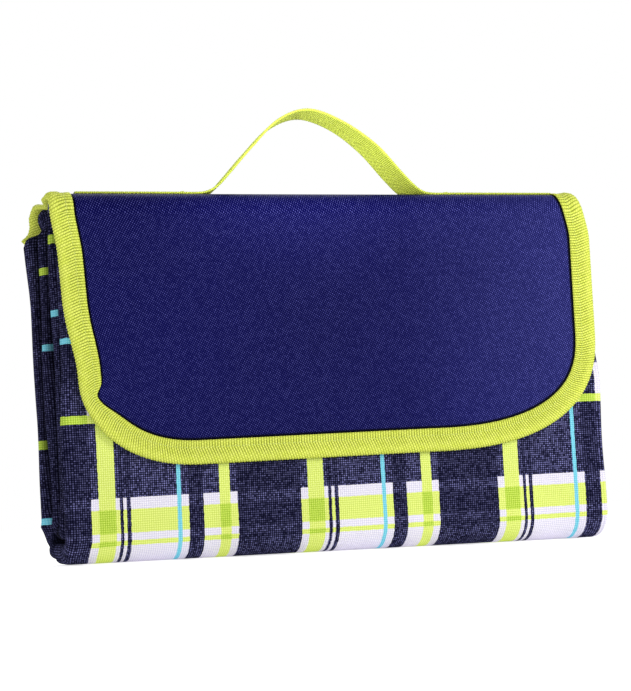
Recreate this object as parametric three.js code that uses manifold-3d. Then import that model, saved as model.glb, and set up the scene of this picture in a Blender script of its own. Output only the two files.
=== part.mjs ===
// A padded picnic mat, folded four times across and four times along, inside its own
// bound cover: a back panel over the top, a front flap and a webbing carry handle.
// Millimetres, +Z up, X across the width, the flap faces -Y, the mat stands on z = 0.

import * as THREE from 'three';
import { mergeVertices } from 'three/addons/utils/BufferGeometryUtils.js';
import Module from 'manifold-3d';

const wasm = await Module();
wasm.setup();

// ---- driving dimensions -------------------------------------------------------------

// The folded mat. A pack is four layers of mat, and four packs lie front to back.
const MAT_WIDTH = 378;
const LAYER = 3.2;
const LAYER_GAP = 0.4;
const PACK_GAP = 0.6;
const PRINT = 0.5;
const FOAM = 2.0;
const PLY_GAP = 0.1;
const TAPE_WIDTH = 8;
const TAPE_INSET = 0.2;
const TAPE_GAP = 1.1;
const JOIN_GAP = 0.3;
const FRONT_PACK_TOP = 231;
const INNER_PACK_TOP = 235;
const BACK_FOLD_TOP = 233;
const BOTTOM_RADIUS = 11;
const UNDER_FOLD_GAP = 0.8;

// How far each pack has crept to the left, from front to back, with the share of that
// at the floor and what each millimetre of height adds.
const CREEP = { front: 0, inner: 2.2, middle: 8, back: 14.6 };
const CREEP_AT_FLOOR = 0.5;
const CREEP_PER_HEIGHT = 0.0027;

// The cover: three plies between the two wings of a folded binding tape.
const COVER_LEFT = -189.5;
const COVER_RIGHT = 188;
const COVER_FRONT = -30.5;
const COVER_BACK = 29.2;
const COVER_ROOF = 241;
const COVER_BACK_BOTTOM = 190;
const FRONT_BEND = 11;
const BACK_BEND = 8;
const COVER_SKEW = 0.17;
const BINDING_WIDTH = 16;
const BINDING_TAPE = 0.6;
const LINING = [0.9, 1.4];
const PAD = [1.7, 2.9];
const OUTER = [3.2, 3.8];
const COVER_THICK = 4.7;
const PLY_EDGE = 0.9;

// The flap's outline, from the hinge line down.
const FLAP_TOP = 229.7;
const FLAP_SIDE_END = 146;
const FLAP_LEFT_LOW = -184;
const LEFT_CORNER = { x: -100, z: 61.5, exponent: 2.3, steps: 9 };
const RIGHT_CORNER = { x: 60, z: 64, exponent: 2.5, steps: 10 };

// The carry handle, one 30 mm webbing laid along the roof and arched in the middle.
const WEBBING = 1.6;
const WEBBING_WIDTH = 30;
const HANDLE_BACK = 9;
const RUN_LEFT = -172;
const RUN_RIGHT = 164;
const RUN_HEIGHT = COVER_ROOF + OUTER[1] + JOIN_GAP + WEBBING / 2;
const PIVOT_HEIGHT = 261;
const LOOP_LEFT = -67.8;
const LOOP_RIGHT = 52.4;
const BAR_TACK = { length: 3, width: 26, height: 0.5, left: -102, right: 87 };

// Touch-and-close tabs that hold the flap down.
const TAB = { length: 80, height: 20, thick: 0.8, x: 84, z: 98 };
const LOOP_TAB_FACE = -29.2;
const HOOK_TAB_FACE = -30.3;

// ---- worked out from them -----------------------------------------------------------

const PACK = 4 * LAYER + 3 * LAYER_GAP;
const PACK_PITCH = PACK + PACK_GAP;
const FRONT_PACK = -1.5 * PACK_PITCH;
const LAYER_PITCH = LAYER + LAYER_GAP;

// ---- materials ----------------------------------------------------------------------

const NAVY_PRINT = new THREE.Color(0x33334f);
const NAVY_COVER = new THREE.Color(0x1e1f57);
const LIME = new THREE.Color(0xd6e34f);
const LIME_WEBBING = new THREE.Color(0xd3e54a);
const FOAM_WHITE = new THREE.Color(0xe6e6ea);
const BACKING_GREY = new THREE.Color(0x2b2c38);
const LINING_BLACK = new THREE.Color(0x1c1d2b);
const PILE_BLACK = new THREE.Color(0x15151c);

function cloth(color, roughness) {
  return new THREE.MeshStandardMaterial({ color, roughness, metalness: 0 });
}

// ---- geometry helpers ---------------------------------------------------------------

function closedGeometry(positions, indices) {
  const geometry = new THREE.BufferGeometry();
  geometry.setAttribute('position', new THREE.Float32BufferAttribute(positions, 3));
  geometry.setIndex(indices);
  return faceOutward(geometry);
}

// Turns the triangles round where the enclosed volume comes out negative.
function faceOutward(geometry) {
  const p = geometry.getAttribute('position');
  const index = Array.from(geometry.getIndex().array);
  const a = new THREE.Vector3();
  const b = new THREE.Vector3();
  const c = new THREE.Vector3();
  let volume = 0;
  for (let i = 0; i < index.length; i += 3) {
    a.fromBufferAttribute(p, index[i]);
    b.fromBufferAttribute(p, index[i + 1]);
    c.fromBufferAttribute(p, index[i + 2]);
    volume += a.dot(b.cross(c));
  }
  if (volume < 0) {
    for (let i = 0; i < index.length; i += 3) {
      [index[i + 1], index[i + 2]] = [index[i + 2], index[i + 1]];
    }
    geometry.setIndex(index);
  }
  return geometry;
}

// A station is a place on a curve in a plane, with the unit normal of its outer side.
// shift is how far the section there is moved to the left.
function station(u, v, nu, nv, shift = 0) {
  return { u, v, nu, nv, shift };
}

// Stations round an arc. outward is 1 where the outer side faces away from the centre.
function arc(u, v, radius, from, to, steps, outward = 1) {
  const stations = [];
  for (let i = 0; i <= steps; i += 1) {
    const angle = THREE.MathUtils.degToRad(from + ((to - from) * i) / steps);
    const cos = Math.cos(angle);
    const sin = Math.sin(angle);
    stations.push(station(u + radius * cos, v + radius * sin, outward * cos, outward * sin));
  }
  return stations;
}

// The closed outline between two offsets from a run of stations.
function band(stations, inner, outer) {
  const near = stations.map((s) => [s.u + s.nu * inner, s.v + s.nv * inner]);
  const far = stations.map((s) => [s.u + s.nu * outer, s.v + s.nv * outer]);
  return [...near, ...far.reverse()];
}

// Carries a section of (x, offset) points along stations in the (y, z) plane.
function sweep(section, stations) {
  const count = section.length;
  const positions = [];
  for (const s of stations) {
    for (const [x, offset] of section) {
      positions.push(x - s.shift, s.u + s.nu * offset, s.v + s.nv * offset);
    }
  }
  const indices = [];
  for (let ring = 0; ring + 1 < stations.length; ring += 1) {
    for (let i = 0; i < count; i += 1) {
      const a = ring * count + i;
      const b = ring * count + ((i + 1) % count);
      // The two faces of a band are split along the same diagonal, so nested bands stay apart.
      if (i < count / 2) {
        indices.push(a, b, b + count, a, b + count, a + count);
      } else {
        indices.push(a, b, a + count, b, b + count, a + count);
      }
    }
  }
  const contour = section.map(([x, offset]) => new THREE.Vector2(x, offset));
  const last = (stations.length - 1) * count;
  const clockwise = THREE.ShapeUtils.isClockWise(contour);
  for (const [a, b, c] of THREE.ShapeUtils.triangulateShape(contour, [])) {
    const [p, q, r] = clockwise ? [c, b, a] : [a, b, c];
    indices.push(r, q, p);
    indices.push(last + p, last + q, last + r);
  }
  return closedGeometry(positions, indices);
}

function shapeOf(points) {
  return new THREE.Shape(points.map(([x, y]) => new THREE.Vector2(x, y)));
}

// A plate whose outline is in (x, z), reaching from y = front back by its thickness.
function upright(points, front, thickness) {
  const geometry = new THREE.ExtrudeGeometry(shapeOf(points), {
    depth: thickness,
    bevelEnabled: false,
  });
  geometry.rotateX(Math.PI / 2);
  geometry.translate(0, front + thickness, 0);
  return geometry;
}

function box(length, depth, height, x, y, z) {
  const geometry = new THREE.BoxGeometry(length, depth, height);
  geometry.translate(x, y, z);
  return geometry;
}

// Moves the stations of a route sideways, each by what shiftAt says for its place.
function shifted(stations, shiftAt) {
  return stations.map((s) => ({ ...s, shift: shiftAt(s.u, s.v) }));
}

function toSolid(geometry) {
  const plain = geometry.clone();
  plain.deleteAttribute('normal');
  plain.deleteAttribute('uv');
  const merged = mergeVertices(plain, 1e-4);
  const vertProperties = new Float32Array(merged.getAttribute('position').array);
  const triVerts = new Uint32Array(merged.getIndex().array);
  return new wasm.Manifold(new wasm.Mesh({ numProp: 3, vertProperties, triVerts }));
}

function fromSolid(solid) {
  const { vertProperties, triVerts } = solid.getMesh();
  return closedGeometry(Array.from(vertProperties), Array.from(triVerts));
}

const assembly = new THREE.Group();

function add(name, geometry, material) {
  const mesh = new THREE.Mesh(geometry, material);
  mesh.name = name;
  assembly.add(mesh);
  return mesh;
}

// ---- the mat ------------------------------------------------------------------------

// One pack's section: the mat runs in from its free right edge at the back of the pack,
// round the outer left fold, along the front, back round the right fold, and round the
// inner left fold to its other free right edge. The printed side is the outer side.
function packStations(freeEdge) {
  const leftFold = -MAT_WIDTH / 2 + PACK / 2;
  const rightFold = MAT_WIDTH / 2 - LAYER_PITCH / 2 - LAYER / 2;
  const outerLayer = 1.5 * LAYER_PITCH;
  const innerLayer = 0.5 * LAYER_PITCH;
  return [
    station(freeEdge, -outerLayer, 0, -1),
    ...arc(leftFold, 0, outerLayer, 270, 90, 6),
    ...arc(rightFold, LAYER_PITCH, innerLayer, 90, -90, 4),
    ...arc(leftFold, 0, innerLayer, 90, 270, 4, -1),
    station(freeEdge, -innerLayer, 0, 1),
  ];
}

// The creep of a stretch of the mat that goes between two packs.
function creeping(stations, [fromY, fromCreep], [toY, toCreep]) {
  return shifted(stations, (y, z) => {
    const share = THREE.MathUtils.clamp((y - fromY) / (toY - fromY), 0, 1);
    const creep = THREE.MathUtils.lerp(fromCreep, toCreep, share);
    return creep * (CREEP_AT_FLOOR + CREEP_PER_HEIGHT * z);
  });
}

// The mat's way from the front pack's top, under the bottom, up the back pack, down
// over its top fold and up again inside.
function matRoute(frontTop, innerTop) {
  const turn = PACK_PITCH / 2;
  const flatHalf = -FRONT_PACK - BOTTOM_RADIUS;
  const bottom = BOTTOM_RADIUS + PACK / 2;
  const topFold = BACK_FOLD_TOP - turn - PACK / 2;
  const lowFold = PACK + UNDER_FOLD_GAP + turn + PACK / 2;
  const front = [FRONT_PACK, CREEP.front];
  const back = [-FRONT_PACK, CREEP.back];
  const middle = [turn, CREEP.middle];
  const inner = [-turn, CREEP.inner];
  const wrap = [
    station(FRONT_PACK, frontTop, -1, 0),
    ...arc(-flatHalf, bottom, BOTTOM_RADIUS, 180, 270, 4),
    ...arc(flatHalf, bottom, BOTTOM_RADIUS, 270, 360, 4),
  ];
  const inside = [
    ...arc(0, lowFold, turn, 0, -180, 6, -1),
    station(-turn, innerTop, 1, 0),
  ];
  return [
    ...creeping(wrap, front, back),
    ...creeping(arc(PACK_PITCH, topFold, turn, 0, 180, 6), back, middle),
    ...creeping(inside, middle, inner),
  ];
}

// The last stretch of a pack, up to its free end.
function packEnd(pack, [y, creep], from, to) {
  const ends = [station(y, from, pack, 0), station(y, to, pack, 0)];
  return creeping(ends, [y, creep], [y + 1, creep]);
}

function buildMat() {
  const frontEnd = FRONT_PACK_TOP - TAPE_WIDTH;
  const innerEnd = INNER_PACK_TOP - TAPE_WIDTH;
  const route = matRoute(frontEnd - JOIN_GAP, innerEnd - JOIN_GAP);
  const rightEdge = MAT_WIDTH / 2;
  const plyEnd = rightEdge - TAPE_WIDTH;
  const plies = packStations(plyEnd);
  const printInner = FOAM / 2 + PLY_GAP;

  const print = band(plies, printInner, printInner + PRINT);
  add('mat_printed_face', sweep(print, route), cloth(NAVY_PRINT, 0.85));
  const foam = band(plies, -FOAM / 2, FOAM / 2);
  add('mat_foam_core', sweep(foam, route), cloth(FOAM_WHITE, 0.95));
  const backing = band(plies, -printInner - PRINT, -printInner);
  add('mat_waterproof_backing', sweep(backing, route), cloth(BACKING_GREY, 0.45));

  const half = LAYER / 2 - TAPE_INSET;
  for (const [name, layer] of [['mat_side_tape_outer', -1.5], ['mat_side_tape_inner', -0.5]]) {
    const middle = layer * LAYER_PITCH;
    const edge = [
      [plyEnd + TAPE_GAP, middle - half],
      [rightEdge, middle - half],
      [rightEdge, middle + half],
      [plyEnd + TAPE_GAP, middle + half],
    ];
    add(name, sweep(edge, route), cloth(NAVY_PRINT, 0.8));
  }

  const wholeLayer = band(packStations(rightEdge), -LAYER / 2, LAYER / 2);
  const frontTape = packEnd(-1, [FRONT_PACK, CREEP.front], frontEnd, FRONT_PACK_TOP);
  add('mat_end_tape_front', sweep(wholeLayer, frontTape), cloth(NAVY_PRINT, 0.8));
  const inner = [-PACK_PITCH / 2, CREEP.inner];
  const innerTape = packEnd(1, inner, innerEnd, INNER_PACK_TOP);
  add('mat_end_tape_inner', sweep(wholeLayer, innerTape), cloth(NAVY_PRINT, 0.8));
}

// ---- the cover's back panel ---------------------------------------------------------

function coverSkew(y) {
  return COVER_SKEW * (y - COVER_FRONT);
}

function coverRoute(end) {
  const stations = [
    ...arc(COVER_FRONT + FRONT_BEND, COVER_ROOF - FRONT_BEND, FRONT_BEND, 180, 90, 6),
    ...arc(COVER_BACK - BACK_BEND, COVER_ROOF - BACK_BEND, BACK_BEND, 90, 0, 5),
    station(COVER_BACK, end, 1, 0),
  ];
  return shifted(stations, coverSkew);
}

// The channel of a folded tape, opening from edge towards the panel on its side.
function channel(edge, towards) {
  const wing = edge + towards * BINDING_WIDTH;
  const web = edge + towards * BINDING_TAPE;
  const far = COVER_THICK - BINDING_TAPE;
  return [
    [edge, 0],
    [wing, 0],
    [wing, BINDING_TAPE],
    [web, BINDING_TAPE],
    [web, far],
    [wing, far],
    [wing, COVER_THICK],
    [edge, COVER_THICK],
  ];
}

function buildCoverBack() {
  const route = coverRoute(COVER_BACK_BOTTOM + PLY_EDGE);
  const sheet = ([inner, outer]) => [
    [COVER_LEFT + PLY_EDGE, inner],
    [COVER_RIGHT - PLY_EDGE, inner],
    [COVER_RIGHT - PLY_EDGE, outer],
    [COVER_LEFT + PLY_EDGE, outer],
  ];
  add('cover_back_outer', sweep(sheet(OUTER), route), cloth(NAVY_COVER, 0.7));
  add('cover_back_pad', sweep(sheet(PAD), route), cloth(FOAM_WHITE, 0.95));
  add('cover_back_lining', sweep(sheet(LINING), route), cloth(LINING_BLACK, 0.8));

  const edgeRoute = coverRoute(COVER_BACK_BOTTOM);
  const left = sweep(channel(COVER_LEFT, 1), edgeRoute);
  add('cover_back_binding_left', left, cloth(LIME, 0.75));
  const right = sweep(channel(COVER_RIGHT, -1), edgeRoute);
  add('cover_back_binding_right', right, cloth(LIME, 0.75));

  // The hem along the bottom lies between the two side bindings.
  const skew = coverSkew(COVER_BACK);
  const start = COVER_LEFT + BINDING_WIDTH + JOIN_GAP - skew;
  const length = COVER_RIGHT - BINDING_WIDTH - JOIN_GAP - skew - start;
  const profile = channel(COVER_BACK_BOTTOM, 1).map(([z, offset]) => [COVER_BACK + offset, z]);
  const hem = new THREE.ExtrudeGeometry(shapeOf(profile), { depth: length, bevelEnabled: false });
  hem.applyMatrix4(new THREE.Matrix4().set(0, 0, 1, start, 1, 0, 0, 0, 0, 1, 0, 0, 0, 0, 0, 1));
  add('cover_back_binding_bottom', hem, cloth(LIME, 0.75));
}

// ---- the flap -----------------------------------------------------------------------

// A corner of the flap: a superellipse quarter between the side and the lower edge.
function flapCorner({ x, z, exponent, steps }, sideX) {
  const points = [];
  for (let i = 0; i <= steps; i += 1) {
    const angle = (Math.PI / 2) * (i / steps);
    const across = Math.cos(angle) ** (2 / exponent);
    const down = Math.sin(angle) ** (2 / exponent);
    points.push([x + (sideX - x) * across, FLAP_SIDE_END + (z - FLAP_SIDE_END) * down]);
  }
  return points;
}

// The unit normal of one edge of the outline, pointing into the flap.
function edgeNormal([x0, z0], [x1, z1]) {
  const along = Math.hypot(x1 - x0, z1 - z0);
  return [(z0 - z1) / along, (x1 - x0) / along];
}

// The place at height z on the line through two points.
function atHeight([x0, z0], [x1, z1], z) {
  return [x0 + ((x1 - x0) * (z - z0)) / (z1 - z0), z];
}

// The flap's outline moved inward by inset, closed across the top at the height top.
function flapOutline(inset, top) {
  const edge = [
    [COVER_LEFT, FLAP_TOP],
    ...flapCorner(LEFT_CORNER, FLAP_LEFT_LOW),
    ...flapCorner(RIGHT_CORNER, COVER_RIGHT).reverse(),
    [COVER_RIGHT, FLAP_TOP],
  ];
  const moved = edge.map(([x, z], i) => {
    const before = edgeNormal(edge[Math.max(i - 1, 0)], edge[Math.max(i, 1)]);
    const last = edge.length - 1;
    const after = edgeNormal(edge[Math.min(i, last - 1)], edge[Math.min(i + 1, last)]);
    const mitre = inset / (1 + before[0] * after[0] + before[1] * after[1]);
    return [x + mitre * (before[0] + after[0]), z + mitre * (before[1] + after[1])];
  });
  const sides = moved.slice(1, -1);
  const left = atHeight(moved[0], sides[0], top);
  const right = atHeight(moved[moved.length - 1], sides[sides.length - 1], top);
  return [left, ...sides, right];
}

function buildFlap() {
  const ply = ([inner, outer]) => {
    return upright(flapOutline(PLY_EDGE, FLAP_TOP), COVER_FRONT - outer, outer - inner);
  };
  add('flap_outer', ply(OUTER), cloth(NAVY_COVER, 0.7));
  add('flap_pad', ply(PAD), cloth(FOAM_WHITE, 0.95));
  add('flap_lining', ply(LINING), cloth(LINING_BLACK, 0.8));

  // The binding: the whole edge, less its middle opening and the slot that holds the plies.
  const past = FLAP_TOP + BINDING_WIDTH;
  const face = COVER_FRONT - COVER_THICK;
  const slotThick = COVER_THICK - 2 * BINDING_TAPE;
  const whole = toSolid(upright(flapOutline(0, FLAP_TOP), face, COVER_THICK));
  const middle = toSolid(upright(flapOutline(BINDING_WIDTH, past), face - 1, COVER_THICK + 2));
  const slot = upright(flapOutline(BINDING_TAPE, past), face + BINDING_TAPE, slotThick);
  const binding = whole.subtract(middle).subtract(toSolid(slot));
  add('flap_binding', fromSolid(binding), cloth(LIME, 0.75));
}

// ---- touch-and-close tabs -----------------------------------------------------------

function buildTabs() {
  for (const [side, x] of [['left', -TAB.x], ['right', TAB.x]]) {
    const middle = TAB.thick / 2;
    const pile = box(TAB.length, TAB.thick, TAB.height, x, LOOP_TAB_FACE - middle, TAB.z);
    add(`loop_strip_${side}`, pile, cloth(PILE_BLACK, 0.95));
    const hook = box(TAB.length, TAB.thick, TAB.height, x, HOOK_TAB_FACE - middle, TAB.z);
    add(`hook_strip_${side}`, hook, cloth(PILE_BLACK, 0.9));
  }
}

// ---- the carry handle ---------------------------------------------------------------

// A webbing whose middle follows points in (x, z). Its ends are cut upright.
function webbing(points) {
  const places = points.map(([x, z], i) => {
    const [x0, z0] = points[Math.max(i - 1, 0)];
    const [x1, z1] = points[Math.min(i + 1, points.length - 1)];
    const along = Math.hypot(x1 - x0, z1 - z0);
    const atEnd = i === 0 || i === points.length - 1;
    const slant = along / (x1 - x0);
    return atEnd ? station(x, z, 0, slant) : station(x, z, (z0 - z1) / along, (x1 - x0) / along);
  });
  const outline = band(places, -WEBBING / 2, WEBBING / 2);
  return upright(outline, HANDLE_BACK - WEBBING_WIDTH, WEBBING_WIDTH);
}

function smooth(points, steps) {
  const corners = points.map(([x, z]) => new THREE.Vector3(x, 0, z));
  const curve = new THREE.CatmullRomCurve3(corners, false, 'catmullrom', 0.5);
  return curve.getPoints(steps).map((p) => [p.x, p.z]);
}

function buildHandle() {
  const footTop = PIVOT_HEIGHT - JOIN_GAP;
  const leftFoot = [
    [LOOP_LEFT - 25, RUN_HEIGHT],
    [LOOP_LEFT - 18, RUN_HEIGHT + 1.2],
    [LOOP_LEFT - 10, RUN_HEIGHT + 5.4],
    [LOOP_LEFT - JOIN_GAP, footTop],
  ];
  const rightFoot = [
    [LOOP_RIGHT + JOIN_GAP, footTop],
    [LOOP_RIGHT + 9, RUN_HEIGHT + 6],
    [LOOP_RIGHT + 16, RUN_HEIGHT + 1.4],
    [LOOP_RIGHT + 24, RUN_HEIGHT],
  ];
  const loop = [
    [LOOP_LEFT, PIVOT_HEIGHT],
    [-52.5, 278],
    [-33, 297],
    [-11.5, 304.6],
    [12, 297],
    [34.6, 280.8],
    [LOOP_RIGHT, PIVOT_HEIGHT],
  ];
  const left = webbing([[RUN_LEFT, RUN_HEIGHT], ...smooth(leftFoot, 6)]);
  add('handle_run_left', left, cloth(LIME_WEBBING, 0.7));
  const right = webbing([...smooth(rightFoot, 6), [RUN_RIGHT, RUN_HEIGHT]]);
  add('handle_run_right', right, cloth(LIME_WEBBING, 0.7));
  add('handle_loop', webbing(smooth(loop, 30)), cloth(LIME_WEBBING, 0.7));

  const { length, width, height } = BAR_TACK;
  const middle = HANDLE_BACK - WEBBING_WIDTH / 2;
  const level = RUN_HEIGHT + WEBBING / 2 + JOIN_GAP + height / 2;
  for (const side of ['left', 'right']) {
    const tack = box(length, width, height, BAR_TACK[side], middle, level);
    add(`bar_tack_${side}`, tack, cloth(LIME, 0.8));
  }
}

buildMat();
buildCoverBack();
buildFlap();
buildTabs();
buildHandle();

// The origin is the middle of the assembly's footprint, on the floor.
const extent = new THREE.Box3().setFromObject(assembly);
assembly.position.set(
  -(extent.min.x + extent.max.x) / 2,
  -(extent.min.y + extent.max.y) / 2,
  -extent.min.z,
);

export default assembly;
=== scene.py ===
"""Folded plaid picnic mat in its padded cover with a webbing handle.

Shapes are worked out in millimetres in the frame of the part's own design, and moved
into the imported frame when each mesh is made.
"""

import math
from functools import reduce

import bpy
import numpy as np
from mathutils import Matrix, Vector


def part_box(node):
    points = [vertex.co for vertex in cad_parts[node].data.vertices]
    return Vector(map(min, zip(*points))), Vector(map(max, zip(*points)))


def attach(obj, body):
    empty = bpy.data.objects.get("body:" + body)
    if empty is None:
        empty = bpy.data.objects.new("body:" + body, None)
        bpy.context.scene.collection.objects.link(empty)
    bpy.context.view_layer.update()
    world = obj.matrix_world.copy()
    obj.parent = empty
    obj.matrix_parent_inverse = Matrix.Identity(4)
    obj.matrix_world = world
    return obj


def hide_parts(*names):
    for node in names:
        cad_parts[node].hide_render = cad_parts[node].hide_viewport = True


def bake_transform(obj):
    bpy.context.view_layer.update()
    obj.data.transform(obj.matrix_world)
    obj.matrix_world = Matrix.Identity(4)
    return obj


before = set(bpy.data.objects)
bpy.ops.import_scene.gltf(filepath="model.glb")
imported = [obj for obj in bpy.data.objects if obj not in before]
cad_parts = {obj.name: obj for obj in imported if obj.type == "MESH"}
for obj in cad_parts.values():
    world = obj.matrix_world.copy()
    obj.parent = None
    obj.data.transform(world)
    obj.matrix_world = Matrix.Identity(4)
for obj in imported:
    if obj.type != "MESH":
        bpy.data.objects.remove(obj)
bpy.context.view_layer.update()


# ---- driving dimensions, millimetres -------------------------------------------------

MM = 0.001

# The folded mat: four layers in a pack, and four packs from front to back.
MAT_WIDTH = 378
LAYER = 3.2
LAYER_GAP = 0.4
LAYER_PITCH = LAYER + LAYER_GAP
PACK = 4 * LAYER + 3 * LAYER_GAP
PACK_GAP = 0.6
PACK_PITCH = PACK + PACK_GAP
FRONT_PACK = -1.5 * PACK_PITCH
PRINT = 0.5
FOAM = 2.0
PRINT_INNER = 1.1
TAPE_WIDTH = 8
JOIN_GAP = 0.3
FRONT_PACK_TOP = 231
INNER_PACK_TOP = 235
BACK_FOLD_TOP = 233
BOTTOM_RADIUS = 11
UNDER_FOLD_GAP = 0.8
CREEP_FRONT, CREEP_INNER, CREEP_MIDDLE, CREEP_BACK = 0, 2.2, 8, 14.6

# The cover.
COVER_LEFT = -189.5
COVER_RIGHT = 188
COVER_FRONT = -30.5
COVER_BACK = 29.2
COVER_ROOF = 241
COVER_BACK_BOTTOM = 190
BACK_CORNER = 12
FRONT_BEND = 11
BACK_BEND = 8
COVER_SKEW = 0.17
BINDING_WIDTH = 16
COVER_THICK = 4.7
PLY_EDGE = 1.2
FLAP_TOP = 229.7
FLAP_SIDE_END = 146
FLAP_LEFT_LOW = -184
LEFT_CORNER = (-100, 61.5, 2.3)
RIGHT_CORNER = (60, 64, 2.5)

# The carry handle.
WEBBING = 1.6
WEBBING_WIDTH = 30
HANDLE_BACK = 9
RUN_LEFT = -175
RUN_RIGHT = 166
RUN_HEIGHT = COVER_ROOF + 3.8 + 0.15 + WEBBING / 2
PIVOT_HEIGHT = 261

# Where the design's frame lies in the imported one.
flap_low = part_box("flap_binding")[0]
OFFSET = np.array([flap_low[0] / MM - COVER_LEFT, flap_low[1] / MM - (COVER_FRONT - COVER_THICK), 0.0])

TAU = 2 * math.pi


def rgb(r, g, b):
    """Linear colour of an sRGB one, 0 to 255."""
    out = []
    for c in (r, g, b):
        c /= 255
        out.append(c / 12.92 if c <= 0.04045 else ((c + 0.055) / 1.055) ** 2.4)
    return (*out, 1.0)


# ---- camera, light and floor ---------------------------------------------------------

AZIMUTH, PITCH, ROLL = (math.radians(a) for a in (15.43, 5.41, -2.7))
AIM = np.array([-8.41, 0.0, 142.07])
DISTANCE = 1204.87
forward = np.array(
    [
        math.sin(AZIMUTH) * math.cos(PITCH),
        math.cos(AZIMUTH) * math.cos(PITCH),
        math.sin(PITCH),
    ]
)
level = np.array([math.cos(AZIMUTH), -math.sin(AZIMUTH), 0])
upward = np.cross(level, forward)
side = math.cos(ROLL) * level + math.sin(ROLL) * upward
top = -math.sin(ROLL) * level + math.cos(ROLL) * upward
eye = (AIM - forward * DISTANCE + OFFSET) * MM

camera_data = bpy.data.cameras.new("camera")
camera_data.lens = 90.19
camera_data.sensor_width = 36
camera = bpy.data.objects.new("camera", camera_data)
bpy.context.collection.objects.link(camera)
camera.matrix_world = Matrix(
    [
        (side[0], top[0], -forward[0], eye[0]),
        (side[1], top[1], -forward[1], eye[1]),
        (side[2], top[2], -forward[2], eye[2]),
        (0, 0, 0, 1),
    ]
)
bpy.context.scene.camera = camera


def aimed_light(name, kind, place, aim, power):
    """A new light's settings; the light stands at its place and faces the aim."""
    data = bpy.data.lights.new(name, kind)
    data.energy = power
    light = bpy.data.objects.new(name, data)
    bpy.context.collection.objects.link(light)
    light.location = place
    light.rotation_euler = (Vector(aim) - Vector(place)).to_track_quat("-Z", "Y").to_euler()
    return data


def area_light(name, place, aim, size, power):
    data = aimed_light(name, "AREA", place, aim, power)
    data.shape = "RECTANGLE"
    data.size, data.size_y = size


SPOT_ANGLE = math.radians(11)
SPOT_RADIUS = 0.04


def spot_light(name, place, aim, power):
    data = aimed_light(name, "SPOT", place, aim, power)
    data.spot_size = SPOT_ANGLE
    data.spot_blend = 1.0
    data.shadow_soft_size = SPOT_RADIUS


area_light("key", (0.66, -0.95, 0.42), (0.06, 0, 0.14), (0.5, 0.5), 6.0)
area_light("low_front", (-0.1, -1.6, 0.14), (0, 0, 0.2), (1.6, 0.2), 4)
area_light("fill", (-1.6, -1.1, 0.35), (0, 0, 0.2), (1.0, 0.6), 5)
area_light("rim", (0.1, 1.2, 1.5), (0, 0, 0.2), (1.4, 0.8), 10)
# Two narrow ones from below reach the underside of the handle.
spot_light("under_left", (-0.75, -0.9, 0.07), (0.035, 0, 0.314), 62)
spot_light("under_right", (0.6, -1.0, 0.05), (-0.04, 0, 0.33), 47)

# The sky is plain white to look at, and lights the scene at SKY of that.
SKY = 0.4
world = bpy.data.worlds.new("studio")
world.use_nodes = True
sky_tree = world.node_tree
sky_seen = sky_tree.nodes.new("ShaderNodeLightPath")
sky_level = sky_tree.nodes.new("ShaderNodeMapRange")
sky_level.inputs["To Min"].default_value = SKY
sky_tree.links.new(sky_seen.outputs["Is Camera Ray"], sky_level.inputs["Value"])
sky_tree.nodes["Background"].inputs["Color"].default_value = (1, 1, 1, 1)
sky_tree.links.new(sky_level.outputs[0], sky_tree.nodes["Background"].inputs["Strength"])
bpy.context.scene.world = world
bpy.context.scene.view_settings.view_transform = "Standard"


# ---- material nodes ------------------------------------------------------------------


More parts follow.
